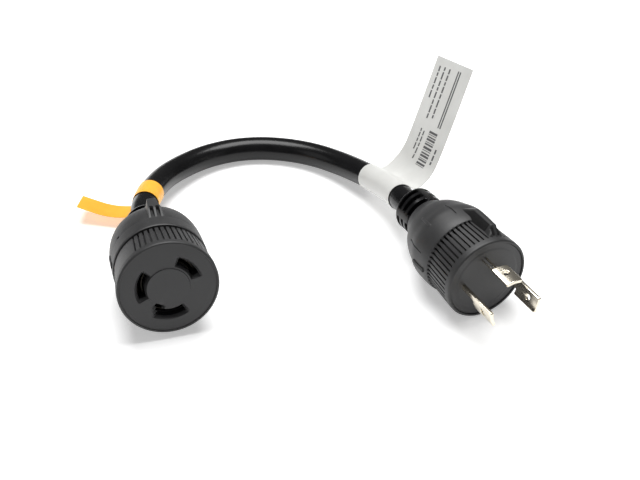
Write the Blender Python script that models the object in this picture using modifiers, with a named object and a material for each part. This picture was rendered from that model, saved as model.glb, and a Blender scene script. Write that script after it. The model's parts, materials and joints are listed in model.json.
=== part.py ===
"""Power adapter dogbone: a short heavy cord with a locking connector at one end and a locking plug at the
other.

Run with: blender --background --python part.py
Units are metres, +Z is up, and the object lies on z = 0 with the two faces towards -Y.
Each end is built around an empty at the middle of its face: local +Z points out of the face, local +Y is up
and local +X is to the right of someone who looks at the face. Angles on a face run clockwise from its top.
"""

import math

import bmesh
import bpy
from mathutils import Matrix, Vector

# ---------------------------------------------------------------- where things lie
CONNECTOR_FACE = Vector((-0.0728, -0.0339, 0.02812))  # middle of the connector's face
CONNECTOR_TILT = math.radians(-7.1)  # nose up
CONNECTOR_TURN = math.radians(16.0)
PLUG_FACE = Vector((0.0821, -0.0194, 0.0225))  # middle of the plug's face
PLUG_TILT = math.radians(0.9)  # nose down
PLUG_TURN = math.radians(27.7)
GAP = 0.0003  # between neighbouring pieces

# ---------------------------------------------------------------- cable
CABLE_RADIUS = 0.0070
JACKET_WALL = 0.00175
WIRE_RADIUS = 0.0022
WIRE_BORE = 0.00145
CORE_RADIUS = 0.00125
WIRE_ORBIT = 0.00275  # from the cable's middle to each wire's middle
WIRE_TURNS = 1.0  # the wires are twisted once over the cable's length
CABLE_STEP = 0.016
# The cable's middle line from the connector's strain relief, round the back, to the plug's.
ROUTE = [
    (-0.0947, 0.0431, 0.0187),
    (-0.0952, 0.0541, 0.0172),
    (-0.0937, 0.0709, 0.0146),
    (-0.0884, 0.0896, 0.0117),
    (-0.0785, 0.1063, 0.0091),
    (-0.0662, 0.1186, 0.0076),
    (-0.0510, 0.1261, 0.0070),
    (-0.0347, 0.1283, 0.0069),
    (-0.0181, 0.1259, 0.0070),
    (-0.0027, 0.1193, 0.0076),
    (0.0115, 0.1081, 0.0091),
    (0.0243, 0.0931, 0.0120),
    (0.0343, 0.0766, 0.0159),
    (0.0406, 0.0626, 0.0194),
    (0.0453, 0.0501, 0.0223),
]
BEND_START = 0.064  # behind each face, where the rigid end stops and the route takes over
JACKET_START = 0.060

# ---------------------------------------------------------------- connector
# Profiles are (radius, depth behind the face).
GROOVES = 54
# Corners of a groove's section, as (radius, depth, half width)
CONNECTOR_GROOVE = (
    (0.0245, 0.0038, 0.0003),
    (0.0262, 0.0038, 0.0003),
    (0.0262, 0.0215, 0.0004),
    (0.0222, 0.0215, 0.0004),
)
PLUG_GROOVE = (
    (0.0219, 0.0040, 0.0003),
    (0.0236, 0.0040, 0.0003),
    (0.0220, 0.0206, 0.0004),
    (0.0200, 0.0206, 0.0004),
)
CONNECTOR_GRIP = [
    (0.0237, 0.0000),
    (0.0243, 0.0000),
    (0.0250, 0.0007),
    (0.0250, 0.0036),
    (0.0234, 0.0203),
    (0.0206, 0.0203),
    (0.0206, 0.0056),
    (0.0237, 0.0056),
]
CONNECTOR_COVER = [
    (0.0206, 0.0206),
    (0.0238, 0.0206),
    (0.0241, 0.0212),
    (0.0240, 0.0300),
    (0.0236, 0.0380),
    (0.0224, 0.0440),
    (0.0202, 0.0480),
    (0.0172, 0.0512),
    (0.0140, 0.0540),
    (0.0124, 0.0560),
    (0.0083, 0.0560),
    (0.0083, 0.0520),
    (0.0160, 0.0440),
    (0.0160, 0.0250),
    (0.0206, 0.0250),
]
CONNECTOR_DISC_RADIUS = 0.0234
CONNECTOR_DISC_DEPTHS = (0.0005, 0.0053)
CONNECTOR_BOSS_RADIUS = 0.0106
SLOTS = {"line": (-108, -48), "neutral": (22, 76), "ground": (151, 212)}  # first and last angle
SLOT_RADII = (0.0115, 0.0150)
SLOT_CHAMFER = 0.0016
HOOK_ANGLES = (201, 218)
HOOK_INNER_RADIUS = 0.0104
CARRIER_RADIUS = 0.0203
CARRIER_DEPTHS = (0.0056, 0.0210)
POCKET_RADII = (0.0112, 0.0157)
LEAF_RADII = (0.0123, 0.0146)
LEAF_THICKNESS = 0.0006
LEAF_DEPTHS = (0.0062, 0.0213)
CONTACT_BARREL = (0.0213, 0.0300)

# ---------------------------------------------------------------- plug
PLUG_SHELL = [
    (0.0211, 0.0000),
    (0.0218, 0.0000),
    (0.0225, 0.0007),
    (0.0225, 0.0036),
    (0.0213, 0.0200),
    (0.0220, 0.0208),
    (0.0226, 0.0240),
    (0.0227, 0.0290),
    (0.0224, 0.0340),
    (0.0208, 0.0390),
    (0.0195, 0.0430),
    (0.0177, 0.0470),
    (0.0150, 0.0510),
    (0.0128, 0.0545),
    (0.0122, 0.0560),
    (0.0083, 0.0560),
    (0.0083, 0.0520),
    (0.0160, 0.0440),
    (0.0160, 0.0185),
    (0.0190, 0.0185),
    (0.0190, 0.0053),
    (0.0211, 0.0053),
]
PLUG_DISC_RADIUS = 0.0208
PLUG_DISC_DEPTHS = (0.0005, 0.0050)
INSERT_RADIUS = 0.0187
INSERT_DEPTHS = (0.0053, 0.0180)
BLADE_RADIUS = 0.0133
BLADE_THICKNESS = 0.0018
BLADE_NOTCH = 0.0085  # from the face to the wide tab
# Neck angles, tab angles and reach in front of the face
BLADES = {
    "line": ((-98, -86), (-124, -86), 0.0240),
    "neutral": ((98, 110), (85, 123), 0.0252),
    "ground": ((-18, -6), (-20, 18), 0.0216),
}
BLADE_HOLE_RADIUS = 0.0016
BLADE_HOLE_FROM_TIP = 0.0075
BLADE_HOLE_ENDS = (0.010, 0.017)

# ---------------------------------------------------------------- crimp barrels, on blades and contacts
BARREL_RADIUS = 0.0028
BARREL_BORE = 0.0016
BARREL_ORBIT = 0.0122
BLADE_BARREL = (0.0183, 0.0270)
BLADE_TAIL = 0.0195
BORE_DEPTH = 0.0065

# Each wire's angle at its crimp barrels: seen from the connector's face, and seen from the plug's face
BARREL_ANGLES = {
    "line": (math.radians(-78), math.radians(-92)),
    "neutral": (math.radians(49), math.radians(104)),
    "ground": (math.radians(188), math.radians(-12)),
}
# Each wire's angle where it enters the cable, seen from the connector's face and from the plug's face
WIRE_ANGLES = {
    "line": (math.radians(-60), math.radians(-120)),
    "neutral": (math.radians(60), math.radians(120)),
    "ground": (math.radians(180), 0.0),
}
FAN_DEPTHS = (0.0300, 0.0560)
FAN_STEP = 0.0055
WIRE_SETBACK = 0.0010  # of the insulation from its barrel
FILLER_RADIUS = 0.00085
FILLER_ORBIT = 0.0039
CONTACT_SHORTER = math.radians(4)  # a contact is this much shorter than its pocket at each end

# ---------------------------------------------------------------- strain reliefs
RELIEF_FRONT = 0.0563
RELIEF_BORE = 0.0074
RELIEF = [(0.0116, 0.0563), (0.0119, 0.0580), (0.0119, 0.0678), (0.0115, 0.0690)]
RELIEF_SLOT_ROWS = (0.0568, 0.0609, 0.0651)
RELIEF_SLOT_WIDTH = 0.0020
RELIEF_SLOT_FLOOR = 0.0088
RELIEF_SLOT_SPAN = math.radians(66)
RELIEF_SLOTS_ROUND = 4
RELIEF_SLOT_ANGLE = -33  # of the middle of the first

# ---------------------------------------------------------------- grip lugs, three round each end
# Corners of a lug or a low ridge, as (radius, depth, half width), in the order that ridge() takes
CONNECTOR_LUG = (
    (0.0215, 0.0226, 0.0046),
    (0.0262, 0.0353, 0.0026),
    (0.0264, 0.0458, 0.0026),
    (0.0185, 0.0485, 0.0046),
)
CONNECTOR_LUG_ANGLE = math.radians(3)
CONNECTOR_RIDGE = (
    (0.0228, 0.0225, 0.0016),
    (0.0246, 0.0236, 0.0012),
    (0.0245, 0.0325, 0.0012),
    (0.0228, 0.0336, 0.0016),
)
CONNECTOR_RIDGE_ANGLE = math.radians(-81)
PLUG_LUG = (
    (0.0212, 0.0029, 0.0044),
    (0.0264, 0.0083, 0.0013),
    (0.0262, 0.0235, 0.0013),
    (0.0183, 0.0300, 0.0044),
)
PLUG_LUG_ANGLE = math.radians(15)
PLUG_RIDGE = (
    (0.0212, 0.0225, 0.0016),
    (0.0232, 0.0232, 0.0012),
    (0.0233, 0.0320, 0.0012),
    (0.0215, 0.0332, 0.0016),
)
PLUG_RIDGE_ANGLE = math.radians(-97)

# ---------------------------------------------------------------- labels
LABEL_GAP = 0.00035
LABEL_THICKNESS = 0.0003
WRAP_STEPS = 14
LABEL_STEP = 0.0065
FLAG_WIDTH = 0.038
FLAG_START = 0.0235  # along the cable, from the jacket's end in the plug
FLAG_WRAP = (62, 410)
FLAG_TAIL = [
    (0.0080, 0.0031),
    (0.0108, 0.0029),
    (0.0140, 0.0044),
    (0.0178, 0.0074),
    (0.0213, 0.0116),
    (0.0262, 0.0198),
    (0.0313, 0.0293),
    (0.0395, 0.0450),
    (0.0478, 0.0612),
]
TAG_START = 0.0323  # along the cable, from the jacket's end in the connector
TAG_WIDTH = 0.0148
TAG_WRAP = (192, 540)
TAG_TAIL = [
    (-0.0060, -0.0077),
    (-0.0120, -0.0092),
    (-0.0190, -0.0103),
    (-0.0260, -0.0102),
    (-0.0330, -0.0094),
    (-0.0400, -0.0085),
]
TAG_DRIFT = 0.0045


# ================================================================ small tools
def clear_scene():
    """Remove every object of the default scene."""
    for obj in list(bpy.data.objects):
        bpy.data.objects.remove(obj, do_unlink=True)


def new_collection(name):
    collection = bpy.data.collections.new(name)
    bpy.context.scene.collection.children.link(collection)
    return collection


def material(name, colour, roughness, metallic=0.0):
    mat = bpy.data.materials.new(name)
    mat.use_nodes = True
    shader = mat.node_tree.nodes["Principled BSDF"]
    shader.inputs["Base Color"].default_value = (*colour, 1.0)
    shader.inputs["Roughness"].default_value = roughness
    shader.inputs["Metallic"].default_value = metallic
    mat.diffuse_color = (*colour, 1.0)
    return mat


def add_object(name, data, mat=None, parent=None, collection=None):
    obj = bpy.data.objects.new(name, data)
    (collection or PARTS).objects.link(obj)
    obj.parent = parent
    if mat:
        data.materials.append(mat)
    return obj


def add_empty(name, place, tilt, turn):
    """An empty whose +Z points out of a face that is turned about Z and tilted nose down."""
    empty = bpy.data.objects.new(name, None)
    PARTS.objects.link(empty)
    empty.location = place
    empty.rotation_euler = (math.pi / 2 + tilt, 0, turn)
    return empty


def as_cutter(obj):
    """Move an object to the cutters' collection and hide it from renders."""
    for collection in list(obj.users_collection):
        collection.objects.unlink(obj)
    CUTTERS.objects.link(obj)
    obj.hide_render = True
    obj.display_type = "WIRE"
    return obj


def boolean(obj, tool, operation="DIFFERENCE"):
    mod = obj.modifiers.new(operation.title(), "BOOLEAN")
    mod.operation = operation
    mod.solver = "EXACT"
    mod.object = as_cutter(tool)
    return mod


def turned(name, profile, mat, parent, steps=48, closed=True):
    """A turned shape from (radius, depth) points that run round the section, outer side first."""
    mesh = bpy.data.meshes.new(name)
    points = [(radius, 0, -depth) for radius, depth in profile]
    edges = [(i, i + 1) for i in range(len(points) - 1)]
    if closed:
        edges.append((len(points) - 1, 0))
    mesh.from_pydata(points, edges, [])
    obj = add_object(name, mesh, mat, parent)
    screw = obj.modifiers.new("Screw", "SCREW")
    screw.axis = "Z"
    screw.steps = steps
    screw.render_steps = steps
    screw.use_merge_vertices = True
    screw.merge_threshold = 0.00001
    return obj


def disc(name, radius, depths, mat, parent, steps=48):
    """A plain turned disc or block between two depths."""
    front, back = depths
    profile = [(0, front), (radius, front), (radius, back), (0, back)]
    return turned(name, profile, mat, parent, steps, closed=False)


def sector(name, radii, angles, depths, parent, arc_steps=8):
    """A block with a ring segment's outline: a flat curve, filled and extruded, made a mesh."""
    curve = bpy.data.curves.new(name, "CURVE")
    curve.dimensions = "2D"
    curve.fill_mode = "BOTH"
    curve.extrude = (depths[1] - depths[0]) / 2
    first, last = (math.radians(a) for a in angles)
    sweep = [first + (last - first) * i / arc_steps for i in range(arc_steps + 1)]
    outline = [(radii[1], a) for a in sweep] + [(radii[0], a) for a in reversed(sweep)]
    spline = curve.splines.new("POLY")
    spline.points.add(len(outline) - 1)
    for point, (radius, angle) in zip(spline.points, outline):
        point.co = (radius * math.sin(angle), radius * math.cos(angle), 0, 1)
    spline.use_cyclic_u = True
    obj = add_object(name, curve, None, parent)
    obj.location = (0, 0, -(depths[0] + depths[1]) / 2)
    return solid_mesh(obj)


def solid_mesh(obj):
    """Turn a curve, or an object with modifiers, into a plain mesh object in the same place."""
    bpy.context.view_layer.update()
    evaluated = obj.evaluated_get(bpy.context.evaluated_depsgraph_get())
    mesh = bpy.data.meshes.new_from_object(evaluated)
    bm = bmesh.new()
    bm.from_mesh(mesh)
    bmesh.ops.remove_doubles(bm, verts=bm.verts, dist=0.000001)
    bmesh.ops.recalc_face_normals(bm, faces=bm.faces)
    bm.to_mesh(mesh)
    bm.free()
    name, parent, place = obj.name, obj.parent, obj.matrix_local.copy()
    collection = obj.users_collection[0]
    bpy.data.objects.remove(obj, do_unlink=True)
    result = bpy.data.objects.new(name, mesh)
    collection.objects.link(result)
    result.parent = parent
    result.location, result.rotation_euler = place.to_translation(), place.to_euler()
    return result


def joined(name, objects):
    """One mesh object, in the first one's parent's space, from several that don't touch."""
    bm = bmesh.new()
    for obj in objects:
        before = len(bm.verts)
        bm.from_mesh(obj.data)
        bm.verts.ensure_lookup_table()
        bmesh.ops.transform(bm, matrix=obj.matrix_local, verts=bm.verts[before:])
    mesh = bpy.data.meshes.new(name)
    bm.to_mesh(mesh)
    bm.free()
    parent = objects[0].parent
    for obj in objects:
        bpy.data.objects.remove(obj, do_unlink=True)
    return add_object(name, mesh, None, parent)


def cylinder(name, radius, start, end, parent, sides=16):
    """A cylinder between two local points."""
    bm = bmesh.new()
    length = (end - start).length
    bmesh.ops.create_cone(bm, cap_ends=True, segments=sides, radius1=radius, radius2=radius, depth=length)
    mesh = bpy.data.meshes.new(name)
    bm.to_mesh(mesh)
    bm.free()
    obj = add_object(name, mesh, None, parent)
    aim = (end - start).to_track_quat("Z", "Y")
    obj.matrix_local = Matrix.Translation((start + end) / 2) @ aim.to_matrix().to_4x4()
    return obj


def on_face(radius, angle, depth=0.0):
    """The local point at a radius, an angle clockwise from the top and a depth behind the face."""
    return Vector((radius * math.sin(angle), radius * math.cos(angle), -depth))


# ================================================================ the cable's line
def smooth_line(points, step):
    """Points about one step apart on a smooth curve through the given points."""
    padded = [2 * points[0] - points[1], *points, 2 * points[-1] - points[-2]]
    line = [points[0]]
    for before, start, end, after in zip(padded, padded[1:], padded[2:], padded[3:]):
        parts = max(1, round((end - start).length / step))
        for i in range(1, parts + 1):
            t = i / parts
            line.append(
                0.5
                * (
                    2 * start
                    + (end - before) * t
                    + (2 * before - 5 * start + 4 * end - after) * t**2
                    + (3 * start - before - 3 * end + after) * t**3
                )
            )
    return line


class Line:
    """A polyline with a frame that turns as little as possible along it."""

    def __init__(self, points, up):
        self.points = points
        self.at = [0.0]
        for a, b in zip(points, points[1:]):
            self.at.append(self.at[-1] + (b - a).length)
        self.length = self.at[-1]
        self.frames = []
        side = None
        for i in range(len(points)):
            ahead = (points[min(i + 1, len(points) - 1)] - points[max(i - 1, 0)]).normalized()
            if side is None:
                side = ahead.cross(up).normalized()
            side = (side - ahead * side.dot(ahead)).normalized()
            self.frames.append((side, side.cross(ahead), ahead))

    def place(self, distance, across=0.0, above=0.0):
        """The point at a distance along the line, moved across and above it."""
        i = 0
        while i < len(self.at) - 2 and self.at[i + 1] < distance:
            i += 1
        t = (distance - self.at[i]) / (self.at[i + 1] - self.at[i])
        middle = self.points[i].lerp(self.points[i + 1], t)
        t = min(max(t, 0.0), 1.0)
        side = self.frames[i][0].lerp(self.frames[i + 1][0], t).normalized()
        high = self.frames[i][1].lerp(self.frames[i + 1][1], t).normalized()
        return middle + side * across + high * above


def full_line():
    """The middle line from the connector's face to the plug's face, finely divided."""

    def axis_point(empty, depth):
        return empty.matrix_world @ Vector((0, 0, -depth))

    start = [axis_point(CONNECTOR, d) for d in (0.0, 0.020, 0.040, 0.056, BEND_START)]
    end = [axis_point(PLUG, d) for d in (BEND_START, 0.056, 0.040, 0.020, 0.0)]
    return Line(smooth_line(start + [Vector(p) for p in ROUTE] + end, 0.002), Vector((0, 0, 1)))


def wire_points(name, start_depth, end_depth):
    """A wire's middle line, from a depth behind the connector's face to a depth behind the plug's face."""
    first, last = WIRE_ANGLES[name]
    contact_angle, blade_angle = BARREL_ANGLES[name]
    points = []
    for depth in depths_between(start_depth, BEND_START):
        share = fan_share(depth)
        orbit = WIRE_ORBIT + (BARREL_ORBIT - WIRE_ORBIT) * share
        angle = first + turn_between(first, contact_angle) * share
        points.append(CONNECTOR.matrix_world @ on_face(orbit, angle, depth))
    rate = cable_turn(first, last) / (LINE.length - 2 * BEND_START)
    for distance in cable_stations()[1:-1]:
        points.append(beside_line(distance, WIRE_ORBIT, first + rate * (distance - BEND_START)))
    for depth in reversed(depths_between(end_depth, BEND_START)):
        share = fan_share(depth)
        orbit = WIRE_ORBIT + (BARREL_ORBIT - WIRE_ORBIT) * share
        angle = last + turn_between(last, blade_angle) * share
        points.append(PLUG.matrix_world @ on_face(orbit, angle, depth))
    return points


def cable_stations():
    """Distances along the cable's line at which every piece of the cable has a point."""
    reach = LINE.length - 2 * JACKET_START
    steps = round(reach / CABLE_STEP)
    return [JACKET_START + reach * i / steps for i in range(steps + 1)]


def beside_line(distance, orbit, angle):
    return LINE.place(distance, orbit * math.sin(angle), orbit * math.cos(angle))


def depths_between(start, end):
    """Depths from a wire's end to the bend, closer where it fans out."""
    steps = max(2, round((end - start) / FAN_STEP))
    return [start + (end - start) * i / steps for i in range(steps + 1)]


def fan_share(depth):
    """1 at the barrels and 0 in the cable, with a smooth change between."""
    t = min(max((depth - FAN_DEPTHS[0]) / (FAN_DEPTHS[1] - FAN_DEPTHS[0]), 0.0), 1.0)
    return 1 - t * t * (3 - 2 * t)


def turn_between(start, end):
    """The shorter turn from one angle to another."""
    return (end - start + math.pi) % (2 * math.pi) - math.pi


def cable_turn(first, last):
    """How far a wire turns about the cable's line, with last measured at the plug's face."""
    side, high, _ = LINE.frames[-1]
    way = PLUG.matrix_world.to_3x3() @ on_face(1.0, last)
    arrive = math.atan2(way.dot(side), way.dot(high))
    return (arrive - first) % (2 * math.pi) + 2 * math.pi * WIRE_TURNS


def tube(name, points, radius, mat, wall=None, resolution=2):
    """A round cord through points: solid with filled caps, or hollow with a wall."""
    curve = bpy.data.curves.new(name, "CURVE")
    curve.dimensions = "3D"
    curve.bevel_depth = radius
    curve.bevel_resolution = resolution
    curve.use_fill_caps = wall is None
    spline = curve.splines.new("POLY")
    spline.points.add(len(points) - 1)
    for point, place in zip(spline.points, points):
        point.co = (*place, 1)
    obj = add_object(name, curve, mat)
    if wall:
        solidify = obj.modifiers.new("Wall", "SOLIDIFY")
        solidify.thickness = wall
        solidify.offset = -1
    return obj


def bend_with(obj, line):
    """Bend a piece that was made straight behind a face so that it follows a line from that face."""
    obj = solid_mesh(obj)
    home = obj.parent.matrix_world.inverted()
    for vertex in obj.data.vertices:
        x, y, z = vertex.co
        vertex.co = home @ line.place(-z, x, y)
    return obj


# ================================================================ shared sub-parts
def ridge(name, corners, angle, parent):
    """A block on a radius, from four (radius, depth, half width) corners.

    Their order is front foot, front top, rear top, rear foot.
    """
    front_foot, front_top, rear_top, rear_foot = corners
    bm = bmesh.new()
    bmesh.ops.create_cube(bm, size=2)
    for vertex in bm.verts:
        top, front = vertex.co.y > 0, vertex.co.z > 0
        if top:
            radius, depth, half = front_top if front else rear_top
        else:
            radius, depth, half = front_foot if front else rear_foot
        vertex.co = (half if vertex.co.x > 0 else -half, radius, -depth)
    bmesh.ops.recalc_face_normals(bm, faces=bm.faces)
    mesh = bpy.data.meshes.new(name)
    bm.to_mesh(mesh)
    bm.free()
    obj = add_object(name, mesh, None, parent)
    obj.rotation_euler.z = -angle
    bpy.context.view_layer.update()
    return obj


def ring_of_ridges(name, corners, count, first_angle, parent):
    """Equal ridges round an end, as one cutter."""
    step = 2 * math.pi / count
    ridges = [ridge(f"{name}_{i}", corners, first_angle + step * i, parent) for i in range(count)]
    return joined(name, ridges)


def strain_relief(name, mat, parent, line):
    """The ribbed sleeve on the cable behind an end: turned, slotted and bent with the cable."""
    rear = RELIEF[-1][1]
    bends = [depth for depth in cable_stations() if RELIEF_FRONT < depth < rear]
    bore = [(RELIEF_BORE, depth) for depth in (rear, *reversed(bends), RELIEF_FRONT)]
    relief = turned(name, RELIEF + bore, mat, parent, steps=32)
    slots = []
    for row, depth in enumerate(RELIEF_SLOT_ROWS):
        for i in range(RELIEF_SLOTS_ROUND):
            middle = RELIEF_SLOT_ANGLE + 360 / RELIEF_SLOTS_ROUND * i
            half = math.degrees(RELIEF_SLOT_SPAN) / 2
            depths = (depth, depth + RELIEF_SLOT_WIDTH)
            radii = (RELIEF_SLOT_FLOOR, 0.0130)
            angles = (middle - half, middle + half)
            slots.append(sector(f"{name}_slot_{row}_{i}", radii, angles, depths, parent, 4))
    boolean(relief, joined(f"{name}_slots", slots))
    relief = bend_with(relief, line)
    relief.data.materials.append(mat)
    return relief


def barrel_into(obj, angle, depths, parent):
    """Add the crimp barrel behind a blade or a contact, with the bore that its wire goes into."""
    start, end = (on_face(BARREL_ORBIT, angle, d) for d in depths)
    boolean(obj, cylinder(f"{obj.name}_barrel", BARREL_RADIUS, start, end, parent), "UNION")
    floor = on_face(BARREL_ORBIT, angle, depths[1] - BORE_DEPTH)
    mouth = on_face(BARREL_ORBIT, angle, depths[1] + 0.001)
    boolean(obj, cylinder(f"{obj.name}_bore", BARREL_BORE, floor, mouth, parent, 12))


# ================================================================ connector
def connector_grip():
    grip = turned("connector_grip_ring", CONNECTOR_GRIP, RUBBER, CONNECTOR)
    boolean(grip, ring_of_ridges("connector_grooves", CONNECTOR_GROOVE, GROOVES, 0, CONNECTOR))


def connector_rear_cover():
    cover = turned("connector_rear_cover", CONNECTOR_COVER, RUBBER, CONNECTOR)
    lug = ridge("connector_lug", CONNECTOR_LUG, CONNECTOR_LUG_ANGLE, CONNECTOR)
    low = ridge("connector_ridge", CONNECTOR_RIDGE, CONNECTOR_RIDGE_ANGLE, CONNECTOR)
    boolean(cover, joined("connector_lug_and_ridge", [lug, low]), "UNION")


def connector_face():
    front, back = CONNECTOR_DISC_DEPTHS
    profile = [
        (0, front - 0.0004),
        (CONNECTOR_BOSS_RADIUS, front - 0.0004),
        (CONNECTOR_BOSS_RADIUS, front),
        (CONNECTOR_DISC_RADIUS, front),
        (CONNECTOR_DISC_RADIUS, back),
        (0, back),
    ]
    face = turned("connector_face", profile, NYLON, CONNECTOR, closed=False)
    for name, angles in SLOTS.items():
        boolean(face, sector(f"slot_{name}", SLOT_RADII, angles, (-0.001, back + 0.001), CONNECTOR))
        mouth_radii = (SLOT_RADII[0] - 0.0007, SLOT_RADII[1] + 0.0020)
        mouth_angles = (angles[0] - 3, angles[1] + 3)
        boolean(face, sector(f"mouth_{name}", mouth_radii, mouth_angles, (-0.001, SLOT_CHAMFER), CONNECTOR))
    hook_radii = (HOOK_INNER_RADIUS, SLOT_RADII[1])
    boolean(face, sector("hook_ground", hook_radii, HOOK_ANGLES, (-0.001, back + 0.001), CONNECTOR, 3))


def contact_carrier():
    carrier = disc("contact_carrier", CARRIER_RADIUS, CARRIER_DEPTHS, NYLON, CONNECTOR)
    depths = (CARRIER_DEPTHS[0] - 0.001, CARRIER_DEPTHS[1] + 0.001)
    for name, angles in SLOTS.items():
        boolean(carrier, sector(f"pocket_{name}", POCKET_RADII, angles, depths, CONNECTOR))


def contact(name):
    """A spring contact: two curved leaves joined at the back, with a crimp barrel."""
    first, last = (math.radians(a) for a in SLOTS[name])
    first, last = first + CONTACT_SHORTER, last - CONTACT_SHORTER
    front, back = LEAF_DEPTHS
    section = [(LEAF_RADII[1], front), (LEAF_RADII[1], back), (LEAF_RADII[0], back), (LEAF_RADII[0], front)]
    obj = turned(f"contact_{name}", section, BRASS, CONNECTOR, steps=8, closed=False)
    obj.modifiers["Screw"].angle = last - first
    obj.rotation_euler.z = math.pi / 2 - last
    leaf = obj.modifiers.new("Leaf", "SOLIDIFY")
    leaf.thickness = LEAF_THICKNESS
    leaf.offset = 0
    leaf.use_even_offset = True
    barrel_into(obj, BARREL_ANGLES[name][0], CONTACT_BARREL, CONNECTOR)


# ================================================================ plug
def plug_shell():
    shell = turned("plug_shell", PLUG_SHELL, RUBBER, PLUG)
    boolean(shell, ring_of_ridges("plug_grooves", PLUG_GROOVE, GROOVES, 0, PLUG))
    lug = ridge("plug_lug", PLUG_LUG, PLUG_LUG_ANGLE, PLUG)
    low = ridge("plug_ridge", PLUG_RIDGE, PLUG_RIDGE_ANGLE, PLUG)
    boolean(shell, joined("plug_lug_and_ridge", [lug, low]), "UNION")


def plug_face_and_insert():
    """The nylon face disc, and the insert behind it that holds the blades."""
    face = disc("plug_face", PLUG_DISC_RADIUS, PLUG_DISC_DEPTHS, NYLON, PLUG)
    insert = disc("plug_blade_insert", INSERT_RADIUS, INSERT_DEPTHS, NYLON, PLUG)
    half = BLADE_THICKNESS / 2 + GAP
    for name, (neck, _, _) in BLADES.items():
        radii = (BLADE_RADIUS - half, BLADE_RADIUS + half)
        angles = (neck[0] - 1.5, neck[1] + 1.5)
        boolean(face, sector(f"face_slit_{name}", radii, angles, (-0.001, 0.0052), PLUG, 4))
        boolean(insert, sector(f"insert_slit_{name}", radii, angles, (0.0051, 0.0190), PLUG, 4))


def blade(name):
    """A curved sheet blade: a narrow neck through the face, a wide tab, a hole and a crimp barrel."""
    neck, tab, reach = BLADES[name]
    columns = sorted({*neck, *tab, *(tab[0] + (tab[1] - tab[0]) * i / 8 for i in range(9))})
    rows = [-BLADE_TAIL, 0.0, BLADE_NOTCH, (BLADE_NOTCH + reach) / 2, reach]
    bm = bmesh.new()
    grid = {}
    for i, angle in enumerate(columns):
        for j, height in enumerate(rows):
            grid[i, j] = bm.verts.new(on_face(BLADE_RADIUS, math.radians(angle), -height))
    for i in range(len(columns) - 1):
        for j in range(len(rows) - 1):
            in_neck = neck[0] <= columns[i] and columns[i + 1] <= neck[1]
            if in_neck or rows[j] >= BLADE_NOTCH:
                bm.faces.new((grid[i, j], grid[i + 1, j], grid[i + 1, j + 1], grid[i, j + 1]))
    bmesh.ops.delete(bm, geom=[v for v in bm.verts if not v.link_faces], context="VERTS")
    tips = [grid[0, len(rows) - 1], grid[len(columns) - 1, len(rows) - 1]]
    bmesh.ops.bevel(bm, geom=tips, offset=0.0008, segments=2, affect="VERTICES")
    bmesh.ops.recalc_face_normals(bm, faces=bm.faces)
    mesh = bpy.data.meshes.new(f"blade_{name}")
    bm.to_mesh(mesh)
    bm.free()
    obj = add_object(f"blade_{name}", mesh, NICKEL, PLUG)
    sheet = obj.modifiers.new("Sheet", "SOLIDIFY")
    sheet.thickness = BLADE_THICKNESS
    sheet.offset = 0
    barrel_into(obj, BARREL_ANGLES[name][1], BLADE_BARREL, PLUG)
    angle = math.radians((tab[0] + tab[1]) / 2)
    inside, outside = (on_face(r, angle, BLADE_HOLE_FROM_TIP - reach) for r in BLADE_HOLE_ENDS)
    boolean(obj, cylinder(f"blade_{name}_hole", BLADE_HOLE_RADIUS, inside, outside, PLUG))


# ================================================================ cable and labels
def cable():
    middle = [LINE.place(distance) for distance in cable_stations()]
    tube("cable_jacket", middle, CABLE_RADIUS, JACKET, JACKET_WALL, 4)
    for name, colour in (("line", WIRE_BLACK), ("neutral", WIRE_WHITE), ("ground", WIRE_GREEN)):
        contact_end = CONTACT_BARREL[1] + WIRE_SETBACK
        blade_end = BLADE_BARREL[1] + WIRE_SETBACK
        wire = wire_points(name, contact_end, blade_end)
        tube(f"wire_{name}", wire, WIRE_RADIUS, colour, WIRE_RADIUS - WIRE_BORE)
        ends = (CONTACT_BARREL[1] - BORE_DEPTH + GAP, BLADE_BARREL[1] - BORE_DEPTH + GAP)
        first = CONNECTOR.matrix_world @ on_face(BARREL_ORBIT, BARREL_ANGLES[name][0], ends[0])
        last = PLUG.matrix_world @ on_face(BARREL_ORBIT, BARREL_ANGLES[name][1], ends[1])
        tube(f"core_{name}", [first, *wire, last], CORE_RADIUS, COPPER)


def fillers():
    """Cotton cords that fill the three hollows between the wires and the jacket."""
    first, last = WIRE_ANGLES["ground"]
    rate = cable_turn(first, last) / (LINE.length - 2 * BEND_START)
    distances = [BEND_START, *cable_stations()[1:-1], LINE.length - BEND_START]
    for k in range(3):
        start = first + math.radians(60 + 120 * k)
        points = [beside_line(d, FILLER_ORBIT, start + rate * (d - BEND_START)) for d in distances]
        tube(f"filler_{k + 1}", points, FILLER_RADIUS, COTTON)


def ribbon(name, rows, mat):
    """A thin sheet through rows of points."""
    bm = bmesh.new()
    verts = [[bm.verts.new(p) for p in row] for row in rows]
    for upper, lower in zip(verts, verts[1:]):
        for a, b, c, d in zip(upper, upper[1:], lower[1:], lower):
            bm.faces.new((a, b, c, d))
    mesh = bpy.data.meshes.new(name)
    bm.to_mesh(mesh)
    bm.free()
    obj = add_object(name, mesh, mat)
    sheet = obj.modifiers.new("Sheet", "SOLIDIFY")
    sheet.thickness = LABEL_THICKNESS
    sheet.offset = 0
    return obj


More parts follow.
